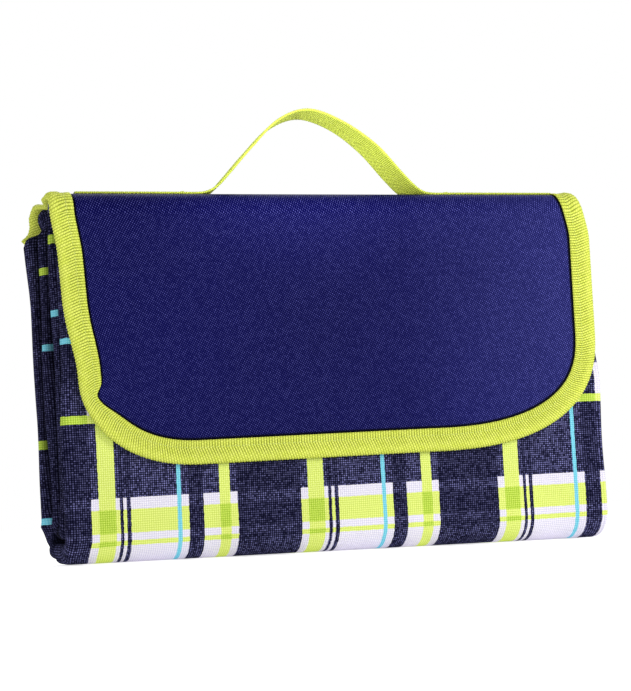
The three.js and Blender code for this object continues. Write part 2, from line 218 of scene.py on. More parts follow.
class Nodes:
    """A material's node tree, with one short call for each kind of node."""

    def __init__(self, name):
        self.material = bpy.data.materials.new(name)
        self.material.use_nodes = True
        self.tree = self.material.node_tree
        self.shader = self.tree.nodes["Principled BSDF"]

    def node(self, kind, **settings):
        made = self.tree.nodes.new(kind)
        for key, value in settings.items():
            setattr(made, key, value)
        return made

    def put(self, socket, value):
        if isinstance(value, bpy.types.NodeSocket):
            self.tree.links.new(value, socket)
        else:
            socket.default_value = value

    def math(self, operation, *values, clamp=False):
        made = self.node("ShaderNodeMath", operation=operation, use_clamp=clamp)
        for socket, value in zip(made.inputs, values):
            self.put(socket, value)
        return made.outputs[0]

    def add(self, *values):
        return reduce(lambda total, value: self.math("ADD", total, value), values)

    def times(self, *values):
        return reduce(lambda total, value: self.math("MULTIPLY", total, value), values)

    def line(self, value, slope, start):
        return self.math("MULTIPLY_ADD", value, slope, start)

    def minus(self, a, b):
        return self.math("SUBTRACT", a, b)

    def over(self, a, b, clamp=False):
        return self.math("DIVIDE", a, b, clamp=clamp)

    def floor(self, value):
        return self.math("FLOOR", value)

    def attribute(self, name):
        return self.node("ShaderNodeAttribute", attribute_name=name).outputs["Fac"]

    def mix(self, share, a, b):
        made = self.node("ShaderNodeMix", data_type="RGBA")
        self.put(made.inputs[0], share)
        self.put(made.inputs[6], a)
        self.put(made.inputs[7], b)
        return made.outputs[2]

    def scaled(self, colour, factor):
        made = self.node("ShaderNodeVectorMath", operation="SCALE")
        self.put(made.inputs[0], colour)
        self.put(made.inputs[3], factor)
        return made.outputs[0]

    def uv(self):
        made = self.node("ShaderNodeUVMap", uv_map="UVMap")
        split = self.node("ShaderNodeSeparateXYZ")
        self.put(split.inputs[0], made.outputs[0])
        return split.outputs[0], split.outputs[1]

    def place(self):
        return self.node("ShaderNodeTexCoord").outputs["Object"]

    def noise(self, vector, scale, detail=2.0, roughness=0.5):
        made = self.node("ShaderNodeTexNoise")
        self.put(made.inputs["Vector"], vector)
        made.inputs["Scale"].default_value = scale
        made.inputs["Detail"].default_value = detail
        made.inputs["Roughness"].default_value = roughness
        return made.outputs[0]

    def white(self, *values):
        joined = self.node("ShaderNodeCombineXYZ")
        for socket, value in zip(joined.inputs, values):
            self.put(socket, value)
        made = self.node("ShaderNodeTexWhiteNoise", noise_dimensions="3D")
        self.put(made.inputs[0], joined.outputs[0])
        return made.outputs[0]

    def ramp(self, share, stops):
        """Steps of colour. Stops are (place, colour), in order."""
        made = self.node("ShaderNodeValToRGB")
        ramp = made.color_ramp
        ramp.interpolation = "CONSTANT"
        while len(ramp.elements) < len(stops):
            ramp.elements.new(0.5)
        for element, (where, colour) in zip(ramp.elements, stops):
            element.position = where
            element.color = colour
        self.put(made.inputs[0], share)
        return made.outputs[0]

    def channels(self, colour):
        made = self.node("ShaderNodeSeparateColor")
        self.put(made.inputs[0], colour)
        return made.outputs[:3]

    def bump(self, height, strength, distance):
        made = self.node("ShaderNodeBump")
        made.inputs["Strength"].default_value = strength
        made.inputs["Distance"].default_value = distance
        self.put(made.inputs["Height"], height)
        self.tree.links.new(made.outputs[0], self.shader.inputs["Normal"])

    def finish(self, colour, roughness, sheen=0.0, specular=0.3):
        self.put(self.shader.inputs["Base Color"], colour)
        self.put(self.shader.inputs["Roughness"], roughness)
        self.shader.inputs["Sheen Weight"].default_value = sheen
        self.shader.inputs["Sheen Roughness"].default_value = 0.6
        self.shader.inputs["Specular IOR Level"].default_value = specular
        return self.material


def plain_weave(n, u, v, pitch):
    """(height, which thread is up, thread numbers across and along) of a plain weave."""
    across = n.over(u, pitch)
    along = n.over(v, pitch)
    i = n.floor(across)
    j = n.floor(along)
    warp_up = n.math("PINGPONG", n.add(i, j), 1.0)
    warp = n.math("SINE", n.times(n.math("FRACT", across), math.pi))
    weft = n.math("SINE", n.times(n.math("FRACT", along), math.pi))
    over = n.line(warp_up, n.minus(warp, weft), weft)
    under = n.line(warp_up, n.minus(weft, warp), warp)
    height = n.times(over, n.line(under, 0.5, 0.5))
    return height, warp_up, i, j


# The plaid across the sheet, from the middle of the outer left fold, as (end, kind).
WHITE, GREEN, BLUE, DARK = "white", "lime", "blue", "dark"
COLUMN_PERIOD = 141.1
COLUMN_START = -172.4
COLUMNS = [
    (4.7, WHITE), (15.6, GREEN), (18.6, WHITE), (20.9, DARK), (23.0, WHITE), (25.5, DARK),
    (56.7, WHITE), (59.1, BLUE), (64.4, WHITE), (74.2, DARK), (85.0, WHITE), (92.1, GREEN),
    (97.2, WHITE), (COLUMN_PERIOD, DARK),
]
# The plaid along the sheet, from the front pack's top, as (end, kind). Bars cross all.
BAR, BLUE_BAR, BAND = "bar", "blue bar", "band"
ROW_LENGTH = 980.0
ROW_PARTS = 7
ROWS = [
    (30.0, DARK), (34.0, BAND), (39.0, WHITE), (56.0, BAND), (61.0, WHITE), (80.4, DARK),
    (84.6, BLUE_BAR), (110.0, DARK), (132.1, WHITE), (137.8, BAR), (187.0, DARK), (194.2, WHITE),
    (209.7, BAND), (214.5, WHITE), (218.1, BAND), (262.0, WHITE), (297.0, DARK), (301.5, BLUE_BAR),
    (327.0, DARK), (347.5, WHITE), (353.5, BAR), (408.0, DARK), (414.0, WHITE), (431.0, BAND),
    (436.0, WHITE), (440.5, BAND), (478.0, WHITE), (554.3, DARK), (559.4, BAR), (606.3, DARK),
    (610.4, BLUE_BAR), (881.4, DARK), (885.8, BLUE_BAR), (929.4, DARK), (933.7, BAR),
    (ROW_LENGTH, DARK),
]
PLAID_PITCH = 0.00145
THREAD_JAG = 0.0003


def stops_between(stripes, flags, low, high):
    """Ramp stops for the stripes that lie from low to high, each at its start."""
    stops, start = [], 0.0
    for end, kind in stripes:
        if end > low and start < high:
            stops.append(((max(start, low) - low) / (high - low), flags[kind]))
        start = end
    return stops


def plaid_material():
    n = Nodes("plaid")
    u, v = n.uv()
    height, warp_up, i, j = plain_weave(n, u, v, PLAID_PITCH)

    # The edges of the stripes step from thread to thread.
    jag = n.line(n.white(i, j, 3.0), THREAD_JAG, -THREAD_JAG / 2)
    flags = {WHITE: (1, 0, 0, 1), GREEN: (1, 1, 0, 1), BLUE: (1, 0, 1, 1), DARK: (0, 0, 0, 1)}
    stops = stops_between(COLUMNS, flags, 0.0, COLUMN_PERIOD)
    share = n.math("FRACT", n.over(n.add(u, jag), MM * COLUMN_PERIOD))
    light_column, green_column, blue_column = n.channels(n.ramp(share, stops))

    flags = {
        DARK: (0, 0, 0, 1),
        WHITE: (1, 0, 0, 1),
        BAND: (1, 1, 0, 1),
        BAR: (0, 0, 1, 1),
        BLUE_BAR: (0, 0, 0.5, 1),
    }
    y = n.add(v, jag)
    marks = None
    for part in range(ROW_PARTS):
        low, high = (ROW_LENGTH * k / ROW_PARTS for k in (part, part + 1))
        share = n.over(n.minus(y, low * MM), (high - low) * MM)
        here = n.ramp(share, stops_between(ROWS, flags, low, high))
        past = n.math("GREATER_THAN", y, low * MM)
        marks = here if marks is None else n.mix(past, marks, here)
    light_row, green_row, bars = n.channels(marks)
    bar_row = n.math("GREATER_THAN", bars, 0.75)
    blue_row = n.minus(n.math("GREATER_THAN", bars, 0.25), bar_row)

    # Navy heather: each thread has its own shade, and light ones cross dark ones.
    warp_shade = n.white(i, n.floor(n.times(j, 0.5)), 1.0)
    weft_shade = n.white(n.floor(n.times(i, 0.5)), j, 2.0)
    shade = n.line(warp_up, n.minus(warp_shade, weft_shade), weft_shade)
    level = n.line(light_column, 0.55, 0.54)
    level = n.line(light_row, 0.34, level)
    level = n.line(green_row, -0.36, level)
    bright = n.line(shade, 0.86, 0.12)
    shade = n.times(bright, n.math("POWER", height, 3.0), level)
    heather = n.mix(shade, rgb(2, 2, 26), rgb(150, 150, 216))

    lime = n.mix(height, rgb(196, 216, 78), rgb(242, 252, 150))
    white = n.mix(height, rgb(206, 201, 226), rgb(250, 246, 255))
    lime_dark = n.mix(height, rgb(140, 180, 16), rgb(216, 238, 106))
    blue = n.mix(height, rgb(84, 184, 216), rgb(150, 228, 242))

    both = n.times(light_column, light_row)
    colour = n.mix(both, heather, n.mix(green_row, white, lime))
    colour = n.mix(green_column, colour, n.mix(green_row, lime, lime_dark))
    colour = n.mix(blue_column, colour, blue)
    bar = n.mix(green_column, n.mix(light_column, lime_dark, lime), lime_dark)
    colour = n.mix(bar_row, colour, bar)
    colour = n.mix(blue_row, colour, blue)
    grime = n.noise(n.place(), 22, 3)
    colour = n.scaled(colour, n.line(grime, 0.18, 0.91))
    # Painted shade: the print is painted darker in the creases between the folded packs.
    colour = n.scaled(colour, n.line(n.attribute("crease"), -0.9, 1.0))
    n.bump(height, 0.55, 0.0003)
    return n.finish(colour, 0.8, specular=0.02)


# Where the painted sheen on the cover cloth begins and how far it grows to the right, and where the
# painted shade along its bound edge ends, in metres.
SHEEN_FROM, SHEEN_OVER = 0.045, 0.12
SHADE_EDGE = 0.0172


def cover_material():
    """Coated navy cloth of coarse twisted yarn, whose crowns make diagonal rows of dots."""
    n = Nodes("cover_navy")
    u, v = n.uv()
    pitch = 0.00155
    a = n.times(n.add(u, n.times(v, 0.55)), TAU / pitch)
    b = n.times(n.minus(v, n.times(u, 0.62)), TAU / pitch)
    dots = n.times(n.line(n.math("SINE", a), 0.5, 0.5), n.line(n.math("SINE", b), 0.5, 0.5))
    rough = n.white(n.floor(n.times(u, 1 / pitch)), n.floor(n.times(v, 1 / pitch)), 0.0)
    height = n.times(dots, n.line(rough, 0.4, 0.62))
    patches = n.noise(n.place(), 9, 3)
    ground = n.mix(patches, rgb(0, 0, 58), rgb(1, 1, 73))
    colour = n.mix(n.math("POWER", height, 2.3), ground, rgb(104, 105, 188))
    # Painted sheen: the cloth is painted lighter and a little greyer toward its right side, where light
    # from the right catches it.
    painted_sheen = n.over(n.minus(u, SHEEN_FROM), SHEEN_OVER, clamp=True)
    colour = n.scaled(colour, n.line(painted_sheen, 0.68, 1.0))
    colour = n.mix(n.times(painted_sheen, 0.012), colour, rgb(200, 212, 200))
    # Painted shade: the cloth is painted darker where it runs in under the binding.
    under = n.over(n.minus(n.attribute("edge_gap"), SHADE_EDGE), 0.001, clamp=True)
    colour = n.scaled(colour, n.line(under, 0.95, 0.05))
    n.bump(height, 0.6, 0.00025)
    return n.finish(colour, 0.5, specular=0.03)


# The binding's ribs: pitch, lean, and how far in from the tape's inner edge they run straight.
RIB = 1.85
RIB_SLANT = -0.36
RIB_STRAIGHT = 5.0


def ribbed_material(name, dark, mid, light, pitch, bars, slant, straight, gaps):
    """Lime tape: ribs at the pitch along u, leaning by the slant, with threads across.

    The ribs run straight for the first metres in from the tape's edge, then lean. The gaps
    between ribs are painted dark, as painted shade, and open between the two gaps, metres in from the
    tape's edge.
    """
    n = Nodes(name)
    u, v = n.uv()
    leaning = n.math("MAXIMUM", n.minus(v, straight), 0.0)
    along = n.over(n.line(leaning, slant, u), pitch)
    rib = n.math("ABSOLUTE", n.math("SINE", n.times(along, math.pi)))
    number = n.floor(along)
    thread = n.math("SINE", n.add(n.times(v, TAU / bars), n.times(number, math.pi)))
    thread = n.line(thread, 0.5, 0.5)
    groove = n.math("POWER", rib, 0.6)
    height = n.times(groove, n.line(thread, 0.45, 0.55))
    own = n.white(number, n.floor(n.times(v, 1 / bars)), 1.0)
    tone = n.mix(n.line(own, 0.35, n.times(height, 0.65)), mid, light)
    open_from = n.over(n.minus(v, gaps[0]), 0.0015, clamp=True)
    open_to = n.over(n.minus(gaps[1], v), 0.003, clamp=True)
    ragged = n.line(n.white(number, 5.0, 2.0), 0.6, 0.4)
    opened = n.line(n.times(open_from, open_to, ragged), 0.6, 0.5)
    closed = n.line(n.minus(groove, 1.0), opened, 1.0)
    basket = n.line(n.minus(thread, 1.0), 0.2, 1.0)
    closed = n.times(closed, basket)
    # Painted shade: the grooves between ribs and the hollows of the weave take the dark colour.
    colour = n.mix(closed, dark, tone)
    patches = n.noise(n.place(), 30, 2)
    colour = n.scaled(colour, n.line(patches, 0.16, 0.92))
    n.bump(height, 0.8, 0.0004)
    return n.finish(colour, 0.6, specular=0.1)


def woven_material(name, dark, light, pitch, roughness=0.8, sheen=0.1):
    n = Nodes(name)
    u, v = n.uv()
    height, warp_up, i, j = plain_weave(n, u, v, pitch)
    tone = n.add(n.times(height, 0.6), n.times(n.white(i, j, 0.0), 0.4))
    colour = n.mix(tone, dark, light)
    n.bump(height, 0.5, 0.0003)
    return n.finish(colour, roughness, sheen=sheen, specular=0.25)


def film_material():
    """The mat's coated back: a thin film with a faint woven ground under it."""
    n = Nodes("backing_film")
    u, v = n.uv()
    height, _, _, _ = plain_weave(n, u, v, 0.0016)
    creases = n.noise(n.place(), 60, 4, 0.6)
    colour = n.mix(creases, rgb(34, 36, 46), rgb(60, 62, 74))
    n.bump(n.add(n.times(height, 0.3), creases), 0.4, 0.0004)
    return n.finish(colour, n.line(creases, 0.2, 0.35), specular=0.5)


def foam_material():
    n = Nodes("foam")
    place = n.place()
    cells = n.node("ShaderNodeTexVoronoi")
    n.put(cells.inputs["Vector"], place)
    cells.inputs["Scale"].default_value = 1400
    colour = n.mix(cells.outputs["Distance"], rgb(205, 206, 214), rgb(240, 240, 245))
    n.bump(cells.outputs["Distance"], 0.5, 0.0003)
    return n.finish(colour, 0.9)


def touch_material(name, scale):
    n = Nodes(name)
    fuzz = n.noise(n.place(), scale, 4, 0.7)
    colour = n.mix(fuzz, rgb(12, 12, 20), rgb(46, 46, 62))
    n.bump(fuzz, 0.8, 0.0005)
    return n.finish(colour, 0.85, sheen=0.3)


def thread_material(name, dark, light):
    n = Nodes(name)
    u, v = n.uv()
    twist = n.math("SINE", n.add(n.times(u, TAU / 0.0009), n.times(v, TAU / 0.0012)))
    twist = n.line(twist, 0.5, 0.5)
    colour = n.mix(twist, dark, light)
    n.bump(twist, 0.5, 0.0002)
    return n.finish(colour, 0.6, sheen=0.1)


PLAID = plaid_material()
COVER = cover_material()
BINDING_LIME = ribbed_material(
    "binding_lime",
    dark=rgb(66, 78, 4),
    mid=rgb(214, 230, 66),
    light=rgb(248, 255, 122),
    pitch=RIB * MM,
    bars=0.0019,
    slant=RIB_SLANT,
    straight=RIB_STRAIGHT * MM,
    gaps=(0.0012, 0.012),
)
WEBBING_LIME = ribbed_material(
    "webbing_lime",
    dark=rgb(140, 158, 30),
    mid=rgb(214, 233, 74),
    light=rgb(241, 252, 112),
    pitch=0.0013,
    bars=0.0021,
    slant=0.3,
    straight=0.0,
    gaps=(-1.0, 1.0),
)
LINING = woven_material("lining_black", rgb(14, 15, 26), rgb(44, 46, 66), 0.0006)
TAPE = woven_material("tape_navy", rgb(28, 28, 52), rgb(84, 84, 128), 0.0009)
BACKING = film_material()
FOAM_CELLS = foam_material()
LOOP_PILE = touch_material("loop_pile", 2200)
HOOK_RIBS = touch_material("hook_ribs", 1500)
THREAD = thread_material("thread_lime", rgb(186, 204, 70), rgb(234, 242, 140))


# The floor's own light, as seen and as it lights the mat from below.
FLOOR_SEEN = 0.68
FLOOR_GLOW = 0.2


def backdrop_material():
    n = Nodes("backdrop")
    mottle = n.noise(n.place(), 3, 2)
    colour = n.mix(mottle, (0.93, 0.93, 0.93, 1), (0.96, 0.96, 0.96, 1))
    n.shader.inputs["Emission Color"].default_value = (1, 1, 1, 1)
    seen = n.node("ShaderNodeLightPath").outputs["Is Camera Ray"]
    glow = n.line(seen, FLOOR_SEEN - FLOOR_GLOW, FLOOR_GLOW)
    n.put(n.shader.inputs["Emission Strength"], glow)
    return n.finish(colour, 0.9, specular=0.0)


# ---- mesh building -------------------------------------------------------------------


def soft_step(x):
    x = np.clip(x, 0, 1)
    return x * x * (3 - 2 * x)


def make(name, points, faces, material, uv):
    """A mesh object of points in design millimetres. uv is in metres, one for each point."""
    mesh = bpy.data.meshes.new(name)
    mesh.from_pydata(((points + OFFSET) * MM).tolist(), [], faces)
    layer = mesh.uv_layers.new(name="UVMap")
    corners = np.empty(len(mesh.loops), int)
    mesh.loops.foreach_get("vertex_index", corners)
    layer.data.foreach_set("uv", uv[corners].ravel())
    mesh.materials.append(material)
    mesh.shade_smooth()
    obj = bpy.data.objects.new(name, mesh)
    bpy.context.collection.objects.link(obj)
    return obj


def unit(vectors):
    return vectors / np.linalg.norm(vectors, axis=-1)[..., None]


def tangents(points):
    """Unit directions along a run of points."""
    return unit(np.gradient(points, axis=0))


def lengths_along(points):
    """The distance from the first point to each, along the run."""
    return np.concatenate([[0], np.cumsum(np.linalg.norm(np.diff(points, axis=0), axis=1))])


def grid_uv(along, across):
    """Sheet coordinates, in metres, of a grid with one row for each place along."""
    return np.stack(np.broadcast_arrays(along[:, None], across[None, :]), 2).reshape(-1, 2) * MM


def tube_faces(rings, count, closed_path=False):
    """Faces between rings of count points each."""
    faces = []
    for r in range(rings if closed_path else rings - 1):
        a0 = r * count
        b0 = ((r + 1) % rings) * count
        for c in range(count):
            d = (c + 1) % count
            faces.append((a0 + c, a0 + d, b0 + d, b0 + c))
    return faces


def flat_ends(rings, count):
    """One face across each end of a tube."""
    last = (rings - 1) * count
    return [tuple(range(count))[::-1], tuple(last + k for k in range(count))]


def end_caps(rings, near):
    """Faces that close both ends of a tube whose ring runs out along near points and back."""
    count = 2 * near
    faces = []
    for ring, flip in ((0, True), (rings - 1, False)):
        base = ring * count
        for c in range(near - 1):
            quad = (base + c, base + c + 1, base + count - 2 - c, base + count - 1 - c)
            faces.append(quad if flip else quad[::-1])
    return faces


def sheet_faces(rows, columns):
    """Faces of a closed sheet: a grid of points, a second one behind it, and the rim."""
    half = rows * columns
    faces = []
    for r in range(rows - 1):
        for c in range(columns - 1):
            a = r * columns + c
            quad = (a, a + columns, a + columns + 1, a + 1)
            faces += [quad, tuple(half + k for k in quad[::-1])]
    rim = list(range(columns))
    rim += [r * columns + columns - 1 for r in range(1, rows)]
    rim += [(rows - 1) * columns + c for c in range(columns - 2, -1, -1)]
    rim += [r * columns for r in range(rows - 2, 0, -1)]
    faces += [(a, b, half + b, half + a) for a, b in zip(rim, rim[1:] + rim[:1])]
    return faces


def face_out(obj):
    """Turns the faces outward where the enclosed volume comes out negative."""
    mesh = obj.data
    co = np.array([v.co for v in mesh.vertices])
    mesh.calc_loop_triangles()
    tri = np.empty(len(mesh.loop_triangles) * 3, int)
    mesh.loop_triangles.foreach_get("vertices", tri)
    a, b, c = co[tri.reshape(-1, 3)].transpose(1, 0, 2)
    if np.einsum("ij,ij->i", a, np.cross(b, c)).sum() < 0:
        mesh.flip_normals()
    return obj


def settle(piece, body, slot, *nodes):
    """The piece stands for the nodes, if any, and moves with the body. The slot is not used."""
    if nodes:
        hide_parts(*nodes)
    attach(piece, body)


# ---- the mat -------------------------------------------------------------------------


def arc(x, y, radius, start, end, steps, outward=1):
    """Stations (place, normal) round an arc, from start to end in degrees."""
    angle = np.radians(np.linspace(start, end, steps + 1))
    cos, sin = np.cos(angle), np.sin(angle)
    return np.stack([x + radius * cos, y + radius * sin, outward * cos, outward * sin], 1)


def refine(stations, step):
    """Adds stations between those that are more than step apart."""
    out = [stations[0]]
    for a, b in zip(stations[:-1], stations[1:]):
        gap = np.hypot(*(b[:2] - a[:2]))
        count = max(1, int(round(gap / step)))
        for k in range(1, count + 1):
            out.append(a + (b - a) * (k / count))
    return np.array(out)


def pack_stations(free_edge, step):
    """One pack's section as (x, y, nx, ny), from one free right edge round to the other."""
    left_fold = -MAT_WIDTH / 2 + PACK / 2
    right_fold = MAT_WIDTH / 2 - LAYER_PITCH / 2 - LAYER / 2
    outer_layer, inner_layer = 1.5 * LAYER_PITCH, 0.5 * LAYER_PITCH
    stations = [
        [[free_edge, -outer_layer, 0, -1]],
        arc(left_fold, 0, outer_layer, 270, 90, 14),
        arc(right_fold, LAYER_PITCH, inner_layer, 90, -90, 8),
        arc(left_fold, 0, inner_layer, 90, 270, 8, -1),
        [[free_edge, -inner_layer, 0, 1]],
    ]
    return refine(np.concatenate(stations), step)


def creep_at(y, z, from_y, from_creep, to_y, to_creep):
    """How far the mat has crept to the left on its way between two packs."""
    share = np.clip((y - from_y) / (to_y - from_y), 0, 1)
    return (from_creep + (to_creep - from_creep) * share) * (0.5 + 0.0027 * z)


def mat_route(front_top, inner_top, step):
    """Stations (y, z, ny, nz, creep) from the front pack's top round to the inner pack's."""
    turn = PACK_PITCH / 2
    flat_half = -FRONT_PACK - BOTTOM_RADIUS
    bottom = BOTTOM_RADIUS + PACK / 2
    top_fold = BACK_FOLD_TOP - turn - PACK / 2
    low_fold = PACK + UNDER_FOLD_GAP + turn + PACK / 2
    under_front = arc(-flat_half, bottom, BOTTOM_RADIUS, 180, 270, 8)
    under_back = arc(flat_half, bottom, BOTTOM_RADIUS, 270, 360, 8)
    wrap = np.concatenate([[[FRONT_PACK, front_top, -1, 0]], under_front, under_back])
    over = arc(PACK_PITCH, top_fold, turn, 0, 180, 14)
    inside = np.concatenate([arc(0, low_fold, turn, 0, -180, 8, -1), [[-turn, inner_top, 1, 0]]])
    runs = [
        (wrap, FRONT_PACK, CREEP_FRONT, -FRONT_PACK, CREEP_BACK),
        (over, -FRONT_PACK, CREEP_BACK, turn, CREEP_MIDDLE),
        (inside, turn, CREEP_MIDDLE, -turn, CREEP_INNER),
    ]
    parts = []
    for stations, *creep in runs:
        shift = creep_at(stations[:, 0], stations[:, 1], *creep)
        parts.append(np.column_stack([stations, shift]))
    return refine(np.concatenate(parts), step)


def mat_soft(p):
    """Points of the mat, moved to where its soft folds lie, all in millimetres.

    Waves along the ridges at the left come first, then their crumpled feet.
    """
    x, y, z = p[:, 0], p[:, 1], p[:, 2]
    ridge = soft_step((-150 - x) / 34)
    k = y / PACK_PITCH
    d = np.zeros_like(p)
    d[:, 0] += ridge * (0.9 * np.sin(z / 34 + 2.1 * k) + 0.5 * np.sin(z / 15.5 + 5 * k + 1))
    d[:, 1] += ridge * (0.6 * np.sin(z / 41 + 1.3 * k + 0.5) + 0.3 * np.sin(z / 19 - 2 * k))
    low = ridge * soft_step((46 - z) / 26) * soft_step((y + 4) / 14) * (0.45 + 0.55 * soft_step(z / 26))
    d[:, 0] += low * (1.4 * np.sin(z / 6.3 + 3.1 * k) + 0.8 * np.sin(z / 3.9 + 7 * k))
    d[:, 1] += low * 0.7 * np.sin(z / 5.1 + 2 * k)
    # The rear packs' top ends step out, and all stand up into the roof.
    step = ridge * soft_step((z - 218) / 3)
    d[:, 0] += step * (3 + 9 * soft_step((y - 12) / 8)) * soft_step((y + 2) / 6)
    d[:, 2] += ridge * soft_step((z - 208) / 26) * 8 * soft_step((27 - y) / 10)
    # Their lowest ends are tucked in, with one ridge pushed out.
    tuck = ridge * soft_step((26 - z) / 24) * soft_step((y + 6) / 16)
    d[:, 0] += tuck * (2.0 + 0.7 * np.sin(z / 1.9 + y / 2.6))
    d[:, 0] -= ridge * soft_step((y - 8) / 8) * 1.0 * np.exp(-(((z - 25) / 2.6) ** 2))
    d[:, 1] += tuck * 0.9 * np.sin(z / 2.3 + x / 3.1)
    # The lower left corner is pressed nearly square.
    before = np.clip(FRONT_PACK + BOTTOM_RADIUS - y, 0, None)
    below = np.clip(BOTTOM_RADIUS + PACK / 2 - z, 0, None)
    pressed = ridge * (2 * before * below / (BOTTOM_RADIUS + PACK / 2) ** 2) ** 2
    d -= pressed[:, None] * [2.2, 1.7, 1.7]
    # The front swells a little over the floor, and the back between its edges.
    belly = soft_step((-12 - y) / 14) * soft_step((70 - z) / 30) * soft_step((z - 2) / 14)
    d[:, 1] -= belly * (0.5 + 0.5 * np.sin(x / 37 + 0.6) + 0.3 * np.sin(x / 15 + z / 21))
    back = soft_step((y - 16) / 10) * soft_step((188 - z) / 30) * soft_step((z - 6) / 30)
    d[:, 1] += back * (0.8 + 0.6 * np.sin(x / 43 + z / 70) + 0.3 * np.sin(x / 19 - z / 33))
    bow = np.sin(np.clip(0.5 + x / MAT_WIDTH, 0, 1) * math.pi)
    d[:, 1] += 1.1 * bow * soft_step((y + 26) / 18)
    # The right side is uneven, wider at the foot and drawn in at the top.
    right = soft_step((x - 160) / 26)
    d[:, 0] += right * (0.5 * np.sin(z / 29 + 1.9 * k) + 0.25 * np.sin(z / 12 + 4 * k))
    top = soft_step((z - 208) / 30)
    d[:, 0] += 3.0 * soft_step((x - 168) / 20) * (1 - soft_step((z - 106) / 36))
    d[:, 0] -= 5.4 * soft_step((x - 110) / 60) * top
    moved = p + d
    moved[:, 2] -= ridge * np.clip(moved[:, 2] - (COVER_ROOF - JOIN_GAP), 0, None)
    return moved


def band(stations, inner, outer):
    """The section of a band of cloth between two offsets, out along one side and back."""
    near = stations[:, :2] + stations[:, 2:4] * inner
    far = stations[:, :2] + stations[:, 2:4] * outer
    return np.concatenate([near, far[::-1]])


def carried(section, route):
    """A section's points at each station of a route."""
    x = section[:, 0] - route[:, 4, None]
    y = route[:, 0, None] + route[:, 2, None] * section[:, 1]
    z = route[:, 1, None] + route[:, 3, None] * section[:, 1]
    return np.stack([x, y, z], 2)


def sheet_uv(stations, route):
    """Sheet coordinates in metres: across from the outer left fold's end, and along."""
    across = lengths_along(stations[:, :2])
    start = np.argmin(np.abs(stations[:, 0] - COLUMN_START) + 99 * (stations[:, 1] < 5))
    across = across - across[start] - (COLUMN_START - stations[start, 0])
    middle = route[:, :2]
    outer = middle + route[:, 2:4] * (PACK / 2)
    steps = np.maximum(*(np.linalg.norm(np.diff(p, axis=0), axis=1) for p in (outer, middle)))
    along = FRONT_PACK_TOP - route[0, 1] + np.concatenate([[0], np.cumsum(steps)])
    return across * MM, along * MM


# The print lies a little askew on the sheet.
SHEET_SLANT, SHEET_SLANT_FROM = 0.013, 0.17


def sweep_band(name, stations, inner, outer, route, material, uv_of=sheet_uv):
    """A closed band of cloth between two offsets, carried along a route in (y, z)."""
    section = band(stations, inner, outer)
    points = mat_soft(carried(section, route).reshape(-1, 3))
    across, along = uv_of(stations, route)
    across = np.concatenate([across, across[::-1]])[None, :]
    drift = SHEET_SLANT * (across - SHEET_SLANT_FROM)
    uv = np.stack(np.broadcast_arrays(across, along[:, None] + drift), 2).reshape(-1, 2)
    faces = tube_faces(len(route), len(section)) + end_caps(len(route), len(stations))
    return face_out(make(name, points, faces, material, uv))


FRONT_END = FRONT_PACK_TOP - TAPE_WIDTH
INNER_END = INNER_PACK_TOP - TAPE_WIDTH
PLY_END = MAT_WIDTH / 2 - TAPE_WIDTH
ROUTE_STEP, PLY_STEP, END_STEP = 3.6, 7.0, 9.0
fold_route = mat_route(FRONT_END - JOIN_GAP, INNER_END - JOIN_GAP, ROUTE_STEP)
plies = pack_stations(PLY_END, PLY_STEP)
PRINT_OUTER = PRINT_INNER + PRINT
mat_print = sweep_band("mat_print", plies, PRINT_INNER, PRINT_OUTER, fold_route, PLAID)
mat_foam = sweep_band("mat_foam", plies, -FOAM / 2, FOAM / 2, fold_route, FOAM_CELLS)
mat_backing = sweep_band("mat_backing", plies, -PRINT_OUTER, -PRINT_INNER, fold_route, BACKING)


def creases(points):
    """How deep in a crease between packs each point of the print lies, 0 to 1, for the painted shade
    there.
    """
    x, y, z = points[..., 0], points[..., 1], points[..., 2]
    planes = np.array([-PACK_PITCH, 0, PACK_PITCH])
    beside = np.exp(-np.abs(y[..., None] - planes) / 1.9).max(2) * soft_step((z - 12) / 4)
    below = np.exp(-np.abs(z - PACK - LAYER_GAP) / 1.9) * soft_step((17 - np.abs(y)) / 3)
    return np.maximum(beside, below) * soft_step((-166 - x) / 14)


def mark_points(piece, name, values):
    """Gives each point of the piece a value that its material reads by name."""
    mark = piece.data.attributes.new(name, "FLOAT", "POINT")
    mark.data.foreach_set("value", values.ravel().astype(np.float32))


# These crease values darken the print's colour, as painted shade.
mark_points(mat_print, "crease", creases(carried(band(plies, PRINT_INNER, PRINT_OUTER), fold_route)))
settle(mat_print, "mat", "printed_cloth", "mat_printed_face")
settle(mat_foam, "mat", "mat_foam", "mat_foam_core")
settle(mat_backing, "mat", "mat_backing", "mat_waterproof_backing")


def edge_tape(name, layer, route):
    """A folded tape along a free edge, round at the outside."""
    half = LAYER / 2 - 0.25
    left = PLY_END + 1.1
    nose = 1.2
    bend = MAT_WIDTH / 2 - nose
    upper = [[left, half], [(left + bend) / 2, half + 0.08]]
    for a in np.linspace(math.pi / 2, 0.0, 4):
        upper.append([bend + nose * math.cos(a), half * math.sin(a)])
    upper = np.array(upper)
    lower = upper[::-1] * [1, -1]
    section = np.concatenate([upper, lower[1:]]) + [0, layer * LAYER_PITCH]
    rings, count = len(route), len(section)
    points = mat_soft(carried(section, route).reshape(-1, 3))
    _, along = sheet_uv(plies, route)
    around = np.broadcast_to(lengths_along(section) * MM, (rings, count))
    uv = np.stack(np.broadcast_arrays(around, along[:, None]), 2).reshape(-1, 2)
    faces = tube_faces(rings, count) + flat_ends(rings, count)
    return face_out(make(name, points, faces, TAPE, uv))


for name, layer in (("outer", -1.5), ("inner", -0.5)):
    tape = edge_tape(f"mat_side_tape_{name}_cloth", layer, fold_route)
    settle(tape, "mat", "mat_tape", f"mat_side_tape_{name}")


